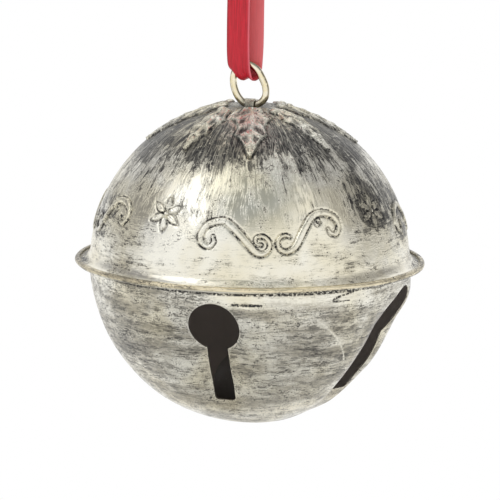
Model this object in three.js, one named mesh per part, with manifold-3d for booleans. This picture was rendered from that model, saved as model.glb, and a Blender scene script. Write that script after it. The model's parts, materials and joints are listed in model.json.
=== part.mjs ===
// A hanging Christmas bell: a round sleigh bell pressed from two sheet-metal shells, a loose
// steel ball inside it, a strap staple and a wire ring at its crown, and a ribbon loop.
// Millimetres, +Z up. The origin is the hanging point, inside the top of the ribbon loop.

import * as THREE from 'three';
import { mergeVertices } from 'three/addons/utils/BufferGeometryUtils.js';
import Module from 'manifold-3d';

const wasm = await Module();
wasm.setup();

// Driving dimensions.

const shellRadius = 40; // outside of the round bell
const sheet = 0.4; // thickness of the pressed sheet
const seamGap = 0.1; // room between the layers of the crimped seam
const facetsAround = 48;
const wallSteps = 10; // facets down each wall

const coveRadius = 3; // the upper shell's wall sweeps out into its flange
const upperFlangeRadius = 43.1;
const hemRadius = 43.7; // the lower shell's flange, folded over the upper one
const hemReach = 1.15; // how far the fold comes back over the upper flange
const lowerBendRadius = 0.8;

const crownDip = 1.6; // shallow seat pressed into the crown for the ring
const crownDipRadius = 6;
const crownSteps = [84.5, 87, 90]; // extra rings of points across the seat, as latitudes

const holeRadius = 6.4; // round end of each keyhole
const holeHeight = -10.2;
const slotWidth = 5.2;
const slotEndHeight = -30.9;
const slotCornerRadius = 0.9;
const keyholeCount = 4;

const flatDepth = 3.7; // the sheet is drawn flat along each slot
const flatSpread = 14.4; // degrees either side of the slot
const flatTopStart = -7; // latitudes, in degrees, between which the flattening comes in
const flatTopFull = -24;
const flatLowFull = -42; // and goes out again
const flatLowEnd = -62;

const wireRadius = 0.9;
const ringHalfWidth = 3.75; // to the middle of the wire
const ringHalfHeight = 5.35;
const ringLean = THREE.MathUtils.degToRad(7);
const ringSplit = 0.2; // gap where the wire's ends meet
const ringSeatGap = 0.15;

const stapleWidth = 2.4;
const stapleThickness = 0.4;
const stapleBore = 1.35; // inner radius of its arch
const stapleFootReach = 5; // each leg is folded out to this distance inside
const fittingGap = 0.3;

const ballRadius = 8.5;
const ballGap = 0.3;

const loopLength = 68; // from the ring's top to the hanging point
const bandWidth = 6; // the 10 mm ribbon, folded lengthwise
const bandThickness = 0.9;
const pinchedWidth = 3.8; // where it passes through the ring
const frontStrandX = -2.3;
const backStrandX = 0.4;
const strandGap = 1.5; // each strand's inner face from the middle of the wire
const bendDrop = 3.6; // middle of the bend, below the ring's top
const knotRadius = 4.6;
const knotHeight = 8;
const tailLength = 21;
const tailWidth = 8.4;
const tailThickness = 0.5;

// Heights worked out from those dimensions, above the bell's centre.

const ringBottomHeight = shellRadius - crownDip + ringSeatGap + wireRadius;
const ringReach = Math.hypot(ringHalfWidth * Math.sin(ringLean), ringHalfHeight * Math.cos(ringLean));
const ringCentreX =
  (-(ringHalfHeight ** 2 - ringHalfWidth ** 2) * Math.sin(ringLean) * Math.cos(ringLean)) / ringReach;
const ringCentreHeight = ringBottomHeight + ringReach;
const ringTopHeight = ringCentreHeight + ringReach;
const hangHeight = ringTopHeight + loopLength;

// Materials.

const antiqueSilver = new THREE.MeshStandardMaterial({ color: 0xcfcabd, roughness: 0.32, metalness: 1 });
const paleGold = new THREE.MeshStandardMaterial({ color: 0xe8d9b0, roughness: 0.18, metalness: 1 });
const darkSteel = new THREE.MeshStandardMaterial({ color: 0x4a4846, roughness: 0.4, metalness: 1 });
const redSatin = new THREE.MeshStandardMaterial({ color: 0xb01f33, roughness: 0.45, metalness: 0 });

// Helpers.

function toSolid(geometry) {
  const bare = geometry.clone();
  bare.deleteAttribute('normal');
  bare.deleteAttribute('uv');
  const merged = mergeVertices(bare, 1e-4);
  return new wasm.Manifold(
    new wasm.Mesh({
      numProp: 3,
      vertProperties: new Float32Array(merged.attributes.position.array),
      triVerts: new Uint32Array(merged.index.array),
    }),
  );
}

function toGeometry(solid) {
  const mesh = solid.getMesh();
  const geometry = new THREE.BufferGeometry();
  geometry.setAttribute('position', new THREE.BufferAttribute(mesh.vertProperties, 3));
  geometry.setIndex(new THREE.BufferAttribute(mesh.triVerts, 1));
  geometry.computeVertexNormals();
  return geometry;
}

function namedMesh(name, geometry, material) {
  const mesh = new THREE.Mesh(geometry, material);
  mesh.name = name;
  return mesh;
}

// Points on an arc in a profile; angles in degrees from the outward radial direction.
function arcPoints(centreR, centreZ, radius, fromAngle, toAngle, steps) {
  const points = [];
  for (let i = 0; i <= steps; i += 1) {
    const angle = THREE.MathUtils.degToRad(fromAngle + ((toAngle - fromAngle) * i) / steps);
    points.push(new THREE.Vector2(centreR + radius * Math.cos(angle), centreZ + radius * Math.sin(angle)));
  }
  return points;
}

// The profile runs anticlockwise in the (radius, height) plane, which turns into a closed solid.
function turned(profile) {
  const lathe = new THREE.LatheGeometry(profile, facetsAround);
  lathe.rotateX(Math.PI / 2);
  return lathe;
}

function smoothStep(from, to, value) {
  const t = THREE.MathUtils.clamp((value - from) / (to - from), 0, 1);
  return t * t * (3 - 2 * t);
}

// Upper shell: a hemisphere with a dished crown, a cove and a flat flange.

function crownDrop(radius) {
  if (radius >= crownDipRadius) return 0;
  return crownDip * Math.cos((Math.PI * radius) / (2 * crownDipRadius)) ** 2;
}

function domeCurve(radius, fromAngle) {
  const wall = arcPoints(0, 0, radius, fromAngle, 81, wallSteps);
  const crown = crownSteps.map((angle) => {
    const turn = THREE.MathUtils.degToRad(angle);
    return new THREE.Vector2(angle === 90 ? 0 : radius * Math.cos(turn), radius * Math.sin(turn));
  });
  const points = [...wall, ...crown];
  for (const point of points) point.y -= crownDrop(point.x);
  return points;
}

function makeUpperShell() {
  const flangeTop = seamGap + sheet;
  const coveHeight = flangeTop + coveRadius;
  const coveCentre = Math.sqrt((shellRadius + coveRadius) ** 2 - coveHeight ** 2);
  const wallAngle = THREE.MathUtils.radToDeg(Math.atan2(coveHeight, coveCentre));
  const outside = domeCurve(shellRadius, wallAngle);
  const inside = domeCurve(shellRadius - sheet, wallAngle).reverse();
  const coveOut = arcPoints(coveCentre, coveHeight, coveRadius, 270, 180 + wallAngle, 4);
  const coveIn = arcPoints(coveCentre, coveHeight, coveRadius + sheet, 180 + wallAngle, 270, 4);
  const rim = [new THREE.Vector2(upperFlangeRadius, seamGap), new THREE.Vector2(upperFlangeRadius, flangeTop)];
  const profile = [...inside, ...coveIn.slice(1), ...rim, ...coveOut.slice(0, -1), ...outside];
  let shell = toSolid(turned(profile));
  for (const side of [-1, 1]) {
    const slit = new THREE.BoxGeometry(
      stapleWidth + 2 * fittingGap,
      stapleThickness + 2 * fittingGap,
      6,
    );
    slit.translate(0, side * (stapleBore + stapleThickness / 2), shellRadius - 2);
    shell = shell.subtract(toSolid(slit));
  }
  return toGeometry(shell);
}

// Lower shell: a hemisphere flattened along its four keyholes, with a flange that folds up and
// back over the upper shell's flange.

function flattening(azimuth, latitude) {
  const comesIn = smoothStep(flatTopStart, flatTopFull, latitude);
  const goesOut = 1 - smoothStep(flatLowFull, flatLowEnd, latitude);
  const spacing = 360 / keyholeCount;
  const offset = azimuth - spacing * Math.round(azimuth / spacing);
  return flatDepth * comesIn * goesOut * Math.exp(-((offset / flatSpread) ** 2));
}

function flattenAlongSlots(geometry) {
  const position = geometry.attributes.position;
  const point = new THREE.Vector3();
  for (let i = 0; i < position.count; i += 1) {
    point.fromBufferAttribute(position, i);
    const distance = point.length();
    const azimuth = THREE.MathUtils.radToDeg(Math.atan2(point.y, point.x));
    const latitude = THREE.MathUtils.radToDeg(Math.asin(point.z / distance));
    if (point.z < -sheet) {
      point.multiplyScalar((distance - flattening(azimuth, latitude)) / distance);
      position.setXYZ(i, point.x, point.y, point.z);
    }
  }
}

// Keyhole outline, drawn looking at the bell from outside.
function keyholeShape() {
  const half = slotWidth / 2;
  const neck = Math.asin(half / holeRadius);
  const shape = new THREE.Shape();
  shape.absarc(0, holeHeight, holeRadius, -Math.PI / 2 + neck, 1.5 * Math.PI - neck, false);
  shape.lineTo(-half, slotEndHeight + slotCornerRadius);
  shape.quadraticCurveTo(-half, slotEndHeight, -half + slotCornerRadius, slotEndHeight);
  shape.lineTo(half - slotCornerRadius, slotEndHeight);
  shape.quadraticCurveTo(half, slotEndHeight, half, slotEndHeight + slotCornerRadius);
  shape.closePath();
  return shape;
}

function keyholeCutter(index) {
  const depth = shellRadius;
  const cutter = new THREE.ExtrudeGeometry(keyholeShape(), { depth, bevelEnabled: false, curveSegments: 14 });
  cutter.rotateX(Math.PI / 2);
  cutter.translate(0, -8, 0);
  cutter.rotateZ((index * 2 * Math.PI) / keyholeCount);
  return toSolid(cutter);
}

function makeLowerShell() {
  const bendHeight = -sheet - lowerBendRadius;
  const bendCentre = Math.sqrt((shellRadius + lowerBendRadius) ** 2 - bendHeight ** 2);
  const bendAngle = THREE.MathUtils.radToDeg(Math.atan2(bendHeight, bendCentre));
  const hemTop = 2 * seamGap + 2 * sheet;
  const hemOuter = (hemTop + sheet) / 2;
  const hemMiddle = hemOuter - sheet;
  const hemInner = hemRadius - hemReach;
  const outside = arcPoints(0, 0, shellRadius, -90, bendAngle, wallSteps);
  const inside = arcPoints(0, 0, shellRadius - sheet, bendAngle, -90, wallSteps);
  outside[0].x = 0;
  inside[inside.length - 1].x = 0;
  const bendOut = arcPoints(bendCentre, bendHeight, lowerBendRadius, 180 + bendAngle, 90, 3);
  const bendIn = arcPoints(bendCentre, bendHeight, lowerBendRadius + sheet, 90, 180 + bendAngle, 3);
  const foldOut = arcPoints(hemRadius - hemOuter, hemMiddle, hemOuter, -90, 90, 5);
  const foldIn = [
    new THREE.Vector2(hemInner, hemTop - sheet),
    new THREE.Vector2(hemRadius - sheet - 0.05, hemTop - sheet),
    new THREE.Vector2(hemRadius - sheet - 0.05, 0),
  ];
  const profile = [
    ...outside,
    ...bendOut.slice(1),
    ...foldOut,
    new THREE.Vector2(hemInner, hemMiddle + hemOuter),
    ...foldIn,
    ...bendIn,
    ...inside.slice(1),
  ];
  const wall = turned(profile);
  flattenAlongSlots(wall);
  let shell = toSolid(wall);
  for (let i = 0; i < keyholeCount; i += 1) shell = shell.subtract(keyholeCutter(i));
  return toGeometry(shell);
}

// Staple: a strap bent over the ring, its legs through the crown and folded out inside.

function makeStaple() {
  const inner = stapleBore;
  const outer = stapleBore + stapleThickness;
  const footTop = shellRadius - sheet - crownDip - fittingGap;
  const footBottom = footTop - stapleThickness;
  const outline = new THREE.Shape();
  outline.moveTo(outer, footTop);
  outline.lineTo(outer, ringBottomHeight);
  outline.absarc(0, ringBottomHeight, outer, 0, Math.PI, false);
  outline.lineTo(-outer, footTop);
  outline.lineTo(-stapleFootReach, footTop);
  outline.lineTo(-stapleFootReach, footBottom);
  outline.lineTo(-inner, footBottom);
  outline.lineTo(-inner, ringBottomHeight);
  outline.absarc(0, ringBottomHeight, inner, Math.PI, 0, true);
  outline.lineTo(inner, footBottom);
  outline.lineTo(stapleFootReach, footBottom);
  outline.lineTo(stapleFootReach, footTop);
  outline.closePath();
  const strap = new THREE.ExtrudeGeometry(outline, { depth: stapleWidth, bevelEnabled: false, curveSegments: 10 });
  strap.translate(0, 0, -stapleWidth / 2);
  strap.rotateX(Math.PI / 2);
  strap.rotateZ(Math.PI / 2);
  return strap;
}

// Ring: round wire bent to an oval, its ends not quite meeting at one side.

class OvalWire extends THREE.Curve {
  getPoint(t, target = new THREE.Vector3()) {
    const halfGap = ringSplit / 2 / ringHalfHeight;
    const angle = halfGap + t * (2 * Math.PI - 2 * halfGap);
    return target.set(ringHalfWidth * Math.cos(angle), 0, ringHalfHeight * Math.sin(angle));
  }
}

function makeRing() {
  const section = new THREE.Shape();
  section.absarc(0, 0, wireRadius, 0, 2 * Math.PI, false);
  return new THREE.ExtrudeGeometry(section, {
    steps: 36,
    extrudePath: new OvalWire(),
    bevelEnabled: false,
    curveSegments: 5,
  });
}

// Ribbon: a folded band down to the ring, through it and back up to the knot.

function ribbonPath() {
  const bendCentre = -loopLength - bendDrop;
  const bend = strandGap + bandThickness / 2;
  const points = [
    [-0.9, -0.65, 0.9],
    [-1.2, -2.7, -3.2],
    [-1.8, -2.7, -12],
    [frontStrandX, -2.1, -36],
    [frontStrandX, -bend, bendCentre + 9],
    [ringCentreX - 0.5, -bend, bendCentre],
    [ringCentreX - 0.3, 0, bendCentre - bend],
    [ringCentreX - 0.1, bend, bendCentre],
    [backStrandX, bend, bendCentre + 9],
    [backStrandX, 2.1, -36],
    [-0.2, 2.7, -12],
    [-0.6, 2.7, -3.2],
    [-0.9, 0.65, 0.9],
  ];
  return new THREE.CatmullRomCurve3(points.map((p) => new THREE.Vector3(...p)), false, 'centripetal');
}

function makeRibbonLoop() {
  const section = new THREE.Shape();
  section.moveTo(-bandWidth / 2, -bandThickness / 2);
  section.lineTo(bandWidth / 2, -bandThickness / 2);
  section.lineTo(bandWidth / 2, bandThickness / 2);
  section.lineTo(-bandWidth / 2, bandThickness / 2);
  section.closePath();
  const path = ribbonPath();
  const band = new THREE.ExtrudeGeometry(section, { steps: 80, extrudePath: path, bevelEnabled: false });
  const middleX = ringCentreX - 0.3;
  const position = band.attributes.position;
  for (let i = 0; i < position.count; i += 1) {
    const low = 1 - smoothStep(-loopLength + 1, -loopLength + 6, position.getZ(i));
    const narrow = 1 - low * (1 - pinchedWidth / bandWidth);
    position.setX(i, middleX + (position.getX(i) - middleX) * narrow);
  }
  return band;
}

function tail(side) {
  const section = new THREE.Shape();
  section.moveTo(-tailWidth / 2, -tailThickness / 2);
  section.lineTo(tailWidth / 2, -tailThickness / 2);
  section.lineTo(tailWidth / 2, tailThickness / 2);
  section.lineTo(-tailWidth / 2, tailThickness / 2);
  section.closePath();
  const knotTop = 1.5 + knotHeight;
  const path = new THREE.CatmullRomCurve3([
    new THREE.Vector3(side * 0.6 - 0.9, side * 0.8, knotTop - 4),
    new THREE.Vector3(side * 2.2 - 0.9, side * 1.6, knotTop + 3),
    new THREE.Vector3(side * 5.6 - 0.9, side * 2.4, knotTop + tailLength * 0.55),
    new THREE.Vector3(side * 10.5 - 0.9, side * 2.8, knotTop + tailLength * 0.82),
  ]);
  return new THREE.ExtrudeGeometry(section, { steps: 8, extrudePath: path, bevelEnabled: false });
}

function makeRibbonKnot() {
  const profile = arcPoints(0, 0, 1, -90, 90, 8).map(
    (point) => new THREE.Vector2(point.x * knotRadius, point.y * (knotHeight / 2)),
  );
  profile[0].x = 0;
  profile[profile.length - 1].x = 0;
  const body = new THREE.LatheGeometry(profile, 16);
  body.rotateX(Math.PI / 2);
  body.scale(1, 0.72, 1);
  body.translate(-0.9, 0, 1.5 + knotHeight / 2);
  let knot = toSolid(body);
  for (const side of [-1, 1]) knot = knot.add(toSolid(tail(side)));
  return toGeometry(knot);
}

// Assembly.

const bell = new THREE.Group();
bell.position.z = -hangHeight;
bell.add(namedMesh('upper_shell', makeUpperShell(), antiqueSilver));
bell.add(namedMesh('lower_shell', makeLowerShell(), antiqueSilver));
bell.add(namedMesh('hanger_staple', makeStaple(), antiqueSilver));

const ball = namedMesh('clapper_ball', new THREE.SphereGeometry(ballRadius, 20, 12), darkSteel);
ball.rotation.x = Math.PI / 2;
ball.position.z = -(shellRadius - sheet - ballGap - ballRadius);
bell.add(ball);

const ring = namedMesh('hanger_ring', makeRing(), paleGold);
ring.rotation.y = -ringLean;
ring.position.set(ringCentreX, 0, ringCentreHeight - hangHeight);

const ribbon = new THREE.Group();
ribbon.add(namedMesh('ribbon_loop', makeRibbonLoop(), redSatin));
ribbon.add(namedMesh('ribbon_knot', makeRibbonKnot(), redSatin));

const group = new THREE.Group();
group.add(ribbon);
group.add(ring);
group.add(bell);

export default group;
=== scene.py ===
import json
import math

import bpy
import numpy as np
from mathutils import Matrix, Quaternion, Vector


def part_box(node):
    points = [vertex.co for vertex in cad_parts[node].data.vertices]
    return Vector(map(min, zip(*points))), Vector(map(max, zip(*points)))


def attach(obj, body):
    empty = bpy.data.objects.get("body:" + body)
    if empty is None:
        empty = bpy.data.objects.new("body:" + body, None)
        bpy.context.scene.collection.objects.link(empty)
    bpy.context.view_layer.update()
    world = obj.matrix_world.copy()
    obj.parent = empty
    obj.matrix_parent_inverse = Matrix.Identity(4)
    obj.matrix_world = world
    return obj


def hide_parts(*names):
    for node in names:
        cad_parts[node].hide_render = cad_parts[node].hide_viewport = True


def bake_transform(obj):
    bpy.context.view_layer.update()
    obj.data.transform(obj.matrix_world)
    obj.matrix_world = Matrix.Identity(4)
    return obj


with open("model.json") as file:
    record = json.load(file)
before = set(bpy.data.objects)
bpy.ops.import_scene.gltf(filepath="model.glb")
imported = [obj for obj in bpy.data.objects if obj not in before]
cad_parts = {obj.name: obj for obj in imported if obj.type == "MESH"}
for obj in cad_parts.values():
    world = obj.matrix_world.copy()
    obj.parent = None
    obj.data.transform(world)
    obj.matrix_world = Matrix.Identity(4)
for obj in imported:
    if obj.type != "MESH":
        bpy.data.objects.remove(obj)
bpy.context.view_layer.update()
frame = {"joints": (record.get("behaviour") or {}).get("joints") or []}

# A hanging Christmas sleigh bell in antiqued silver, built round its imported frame.
# Shapes are worked out in millimetres from the bell's centre and placed in metres at the end.

MM = 0.001


def joint_point(name):
    joint = next(j for j in frame["joints"] if j["name"] == name)
    return np.array(joint["pos_m"]) / MM


BELL_CENTRE = joint_point("clapper_roll")
RING_FOOT = joint_point("bell_swing")

SHELL_RADIUS = 40.0
SHEET = 0.4
SEAM_GAP = 0.1
COVE_RADIUS = 3.0
UPPER_FLANGE_RADIUS = 43.1
HEM_RADIUS = 43.7
HEM_REACH = 1.15
LOWER_BEND_RADIUS = 0.8
CROWN_DIP = 1.6
CROWN_DIP_RADIUS = 6.0
DEGREE = SHELL_RADIUS * math.pi / 180  # a degree along the shell, in millimetres

# Camera. It is made first, and looks at the bell from a little above.

CAMERA_AZIMUTH = 13.4
CAMERA_ELEVATION = 10.0
CAMERA_DISTANCE = 1500.0
CAMERA_ROLL = 0.9
VIEW_WIDTH = 125.0
AIM_ABOVE_CENTRE = 2.9


def add_object(name, data):
    made = bpy.data.objects.new(name, data)
    bpy.context.scene.collection.objects.link(made)
    return made


def add_camera():
    data = bpy.data.cameras.new("camera")
    data.sensor_width = 36
    data.lens = data.sensor_width * CAMERA_DISTANCE / VIEW_WIDTH
    data.clip_start = 0.01
    data.clip_end = 20
    camera = add_object("camera", data)
    azimuth = math.radians(CAMERA_AZIMUTH)
    elevation = math.radians(CAMERA_ELEVATION)
    back = Vector((
        math.sin(azimuth) * math.cos(elevation),
        -math.cos(azimuth) * math.cos(elevation),
        math.sin(elevation),
    ))
    aim = Vector(BELL_CENTRE) + Vector((0, 0, AIM_ABOVE_CENTRE))
    camera.location = (aim + back * CAMERA_DISTANCE) * MM
    camera.rotation_mode = "QUATERNION"
    roll = Quaternion(back, math.radians(CAMERA_ROLL))
    camera.rotation_quaternion = roll @ (-back).to_track_quat("-Z", "Y")
    bpy.context.scene.camera = camera


add_camera()


# Numbers and meshes.

FAR = 99.0  # a distance beyond everything on the bell
WELD_TOLERANCE = 1e-4


def smooth_step(low, high, value):
    t = np.clip((value - low) / (high - low), 0, 1)
    return t * t * (3 - 2 * t)


def hump(value, width):
    """A bell curve: 1 at 0, falling over that width."""
    return np.exp(-((value / width) ** 2))


def offset_from(azimuth, middle):
    """Degrees from one azimuth to another, from -180 to 180."""
    return (azimuth - middle + 180) % 360 - 180


def with_spots(total, azimuth, latitude, spots, sign=1):
    """Adds smooth spots to a value; each is azimuth, latitude, spread of each, amount."""
    for middle, height, wide, tall, amount in spots:
        offset = offset_from(azimuth, middle)
        total = total + sign * amount * np.exp(-((offset / wide) ** 2) - ((latitude - height) / tall) ** 2)
    return total


def unit(vectors):
    return vectors / np.linalg.norm(vectors, axis=1, keepdims=True)


def smooth_line(controls, per_span=8):
    """Points on a smooth curve through the control points (Catmull-Rom)."""
    controls = np.array(controls, float)
    ends = (2 * controls[:1] - controls[1:2], 2 * controls[-1:] - controls[-2:-1])
    p = np.concatenate([ends[0], controls, ends[1]])
    t = np.arange(per_span)[:, None] / per_span
    spans = []
    for a, b, c, d in zip(p, p[1:], p[2:], p[3:]):
        spans.append(0.5 * (
            2 * b + (c - a) * t + (2 * a - 5 * b + 4 * c - d) * t**2 + (3 * b - a - 3 * c + d) * t**3
        ))
    return np.concatenate([*spans, controls[-1:]])


RIPPLE_WAVES = 14


def ripple(points, wavelength, seed):
    """Smooth seeded noise from -1 to 1: a sum of plane waves of about that wavelength."""
    draw = np.random.default_rng(seed)
    total = np.zeros(len(points))
    for _ in range(RIPPLE_WAVES):
        direction = draw.normal(size=3)
        direction *= 2 * math.pi / wavelength / np.linalg.norm(direction)
        total += np.sin(points @ direction * draw.uniform(0.6, 1.4) + draw.uniform(0, 2 * math.pi))
    return total / math.sqrt(RIPPLE_WAVES * 2)


def directed_edges(triangles):
    return np.concatenate([triangles[:, [0, 1]], triangles[:, [1, 2]], triangles[:, [2, 0]]])


def split_triangles(triangles, middles):
    """Cuts each triangle at the middles of its edges ab, bc and ca; a middle of -1 isn't cut."""
    has = middles >= 0
    count = has.sum(axis=1)
    first = np.where(count == 1, has.argmax(axis=1), ((~has).argmax(axis=1) + 1) % 3)
    turn = (first[:, None] + np.arange(3)) % 3
    turned = np.take_along_axis(triangles, turn, axis=1)
    cut = np.take_along_axis(middles, turn, axis=1)
    a, b, c = turned.T
    ab, bc, ca = cut.T
    patterns = {
        0: [(a, b, c)],
        1: [(a, ab, c), (ab, b, c)],
        2: [(ab, b, bc), (a, ab, bc), (a, bc, c)],
        3: [(a, ab, ca), (ab, b, bc), (ca, bc, c), (ab, bc, ca)],
    }
    made = []
    for number, pattern in patterns.items():
        chosen = count == number
        made += [np.stack([corner[chosen] for corner in corners], axis=1) for corners in pattern]
    return np.concatenate(made)


def refine(points, triangles, place, wanted, rounds):
    """Splits every edge longer than wanted(its middle), up to that many rounds."""
    for _ in range(rounds):
        both_ways = np.sort(directed_edges(triangles), axis=1)
        edges, back = np.unique(both_ways, axis=0, return_inverse=True)
        ends = place(points)[edges]
        length = np.linalg.norm(ends[:, 0] - ends[:, 1], axis=1)
        middle = points[edges].mean(axis=1)
        split = length > wanted(middle)
        if not split.any():
            break
        new = np.full(len(edges), -1)
        new[split] = len(points) + np.arange(split.sum())
        points = np.concatenate([points, middle[split]])
        triangles = split_triangles(triangles, new[back.ravel()].reshape(3, -1).T)
    return points, triangles


def turned_grid(stations, around):
    """A grid over (turn in radians, distance along the profile), closing on the pole at its start."""
    turns = np.linspace(0, 2 * math.pi, around + 1)
    points = np.array([(t, s) for s in stations for t in turns])
    cell = np.arange(around)
    triangles = []
    for row in range(len(stations) - 1):
        a = row * (around + 1) + cell
        b, c, d = a + 1, a + around + 1, a + around + 2
        triangles.append(np.stack([a, c, d], axis=1))
        if row > 0:
            triangles.append(np.stack([a, d, b], axis=1))
    points[:around + 1, 0] += math.pi / around
    return points, np.concatenate(triangles)


def place_keys(places):
    """Whole numbers that are the same for points at one place."""
    return np.round(places / WELD_TOLERANCE).astype(np.int64)


def weld(places, triangles):
    """Joins points at one place; returns the kept points' numbers and the new triangles."""
    keys = place_keys(places)
    _, kept, back = np.unique(keys, axis=0, return_index=True, return_inverse=True)
    triangles = back.ravel()[triangles]
    real = (triangles != np.roll(triangles, -1, axis=1)).all(axis=1)
    return kept, triangles[real]


def point_normals(places, triangles):
    a, b, c = (places[triangles[:, i]] for i in range(3))
    face = np.cross(b - a, c - a)
    normals = np.zeros_like(places)
    for i in range(3):
        np.add.at(normals, triangles[:, i], face)
    return normals / np.maximum(np.linalg.norm(normals, axis=1, keepdims=True), 1e-12)


def rim_of(triangles):
    """The open edges of a sheet, each in its triangle's direction."""
    directed = directed_edges(triangles)
    _, first, count = np.unique(np.sort(directed, axis=1), axis=0, return_index=True, return_counts=True)
    return directed[first[count == 1]]


def close_sheet(outer, outer_faces, inner, inner_faces, twin):
    """A closed sheet from its two faces. twin gives the inner point under each point of the outer rim.

    Materials: 0 outer face, 1 inner face, 2 cut edge.
    """
    n = len(outer)
    a, b = rim_of(outer_faces).T
    c, d = twin(a) + n, twin(b) + n
    walls = np.concatenate([np.stack([b, a, c], axis=1), np.stack([b, c, d], axis=1)])
    faces = np.concatenate([outer_faces, inner_faces[:, ::-1] + n, walls])
    kinds = np.repeat([0, 1, 2], [len(outer_faces), len(inner_faces), len(walls)])
    return np.concatenate([outer, inner]), faces, kinds


def thicken(outer, inner, triangles):
    """A closed sheet whose two faces have the same triangles."""
    return close_sheet(outer, triangles, inner, triangles, lambda rim: rim)


def key_twin(outer, inner):
    """Finds an outer point's twin by its place, where the two faces have triangles of their own."""
    numbers = {tuple(key): i for i, key in enumerate(place_keys(inner).tolist())}
    keys = place_keys(outer).tolist()
    return lambda rim: np.array([numbers[tuple(keys[v])] for v in rim])


def add_mesh(name, places, faces, materials, kinds=None, values=None, uv=None, centre=None, sharp=50):
    """A mesh object from points in millimetres; values are named numbers at each point."""
    centre = np.zeros(3) if centre is None else centre
    mesh = bpy.data.meshes.new(name)
    mesh.from_pydata(((places + centre) * MM).tolist(), [], [list(map(int, f)) for f in faces])
    for material in materials:
        mesh.materials.append(material)
    if kinds is not None:
        mesh.polygons.foreach_set("material_index", np.asarray(kinds, np.int32))
    for key, value in (values or {}).items():
        attribute = mesh.attributes.new(key, "FLOAT", "POINT")
        attribute.data.foreach_set("value", np.asarray(value, np.float32))
    if uv is not None:
        corners = np.zeros(len(mesh.loops), np.int32)
        mesh.loops.foreach_get("vertex_index", corners)
        layer = mesh.uv_layers.new(name="cloth")
        layer.data.foreach_set("uv", np.asarray(uv, np.float32)[corners].ravel())
    mesh.update()
    mesh.shade_smooth()
    mesh.set_sharp_from_angle(angle=math.radians(sharp))
    return add_object(name, mesh)


# Pressed relief. Motifs are drawn in millimetres on the flattened shell, and repeat in quarters.

SCROLL_AZIMUTH = 22.0
SCROLL_LATITUDE = 18.0
SCROLL_TILT = 3.7
FLOWER_AZIMUTH = -21.5
FLOWER_LATITUDE = 25.0
FLOWER_TURN = 28
FLOWER_SHARE = 0.8
BUD_RADIUS = 0.55
RELIEF_HEIGHT = 0.50
CROWN_SHARE = 1.35  # the crown's leaves stand this much higher
GROOVE_DEPTH = 0.24

# The double scroll, each half from its outer curl's tip over the top, down the stem and round its
# inner curl; each row is across, up and half the line's width.
SCROLL_RIGHT = smooth_line([
    (14.7, 1.0, 0.31), (15.3, -0.2, 0.44), (16.8, -0.5, 0.56), (17.9, 1.3, 0.62), (17.3, 3.3, 0.72),
    (15.3, 4.7, 0.8), (12.5, 5.2, 0.82), (10.2, 4.3, 0.86), (8.4, 2.2, 0.88), (7.0, 0.2, 0.88),
    (5.8, -1.8, 0.82), (4.6, -3.0, 0.7), (3.0, -3.5, 0.58), (1.5, -2.6, 0.5), (1.0, -1.1, 0.47),
    (1.6, 0.2, 0.44), (3.0, 0.6, 0.38), (4.1, 0.2, 0.31),
], 6)
SCROLL_LEFT = smooth_line([
    (-14.9, 1.2, 0.31), (-14.7, -0.3, 0.44), (-15.9, -1.3, 0.56), (-17.7, -0.1, 0.66), (-18.1, 2.1, 0.75),
    (-16.7, 4.1, 0.85), (-14.2, 5.0, 0.85), (-12.2, 5.0, 0.85), (-10.5, 3.8, 0.88), (-8.3, 1.6, 0.88),
    (-6.1, -1.0, 0.86), (-4.4, -3.0, 0.75), (-2.7, -3.6, 0.6), (-1.2, -2.5, 0.5), (-1.0, -0.9, 0.47),
    (-2.4, 0.7, 0.44), (-4.2, 0.6, 0.38), (-4.3, -0.8, 0.34), (-3.0, -1.3, 0.3),
], 6)
SCROLL_LOOP = smooth_line([
    (11.4, 3.4, 0.16), (12.1, 3.7, 0.2), (12.6, 2.9, 0.2), (11.9, 2.3, 0.2), (11.4, 2.7, 0.18),
    (11.4, 3.3, 0.16),
], 4)


def line_distance(points, line):
    """Distance to a line less its half width there, and the height over it as on a round wire."""
    starts, steps = line[:-1], np.diff(line, axis=0)
    best = np.full(len(points), FAR)
    crest = np.zeros(len(points))
    for start, step in zip(starts, steps):
        along = np.clip((points - start[:2]) @ step[:2] / (step[:2] @ step[:2]), 0, 1)
        gap = points - start[:2] - along[:, None] * step[:2]
        half = start[2] + along * step[2]
        distance = np.hypot(gap[:, 0], gap[:, 1])
        best = np.minimum(best, distance - half)
        height = np.sqrt(np.clip(1 - (distance / half) ** 2, 0, 1)) * np.minimum(half, 1.0)
        crest = np.maximum(crest, height)
    return best, crest


def quarter(azimuth, middle):
    """Azimuth from the nearest of four lines a quarter turn apart, in degrees."""
    offset = azimuth - middle
    return offset - 90 * np.round(offset / 90)


def scroll_relief(azimuth, latitude):
    across = quarter(azimuth, SCROLL_AZIMUTH) * DEGREE * math.cos(math.radians(SCROLL_LATITUDE))
    up = (latitude - SCROLL_LATITUDE) * DEGREE - across * math.tan(math.radians(SCROLL_TILT))
    distance = np.full(len(across), FAR)
    height = np.zeros(len(across))
    near = (np.abs(across) < 21) & (np.abs(up - 0.8) < 7.5)
    points = np.stack([across[near], up[near]], axis=1)
    for line in (SCROLL_RIGHT, SCROLL_LEFT, SCROLL_LOOP):
        away, crest = line_distance(points, line)
        distance[near] = np.minimum(distance[near], away)
        height[near] = np.maximum(height[near], crest)
    return distance, height


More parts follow.
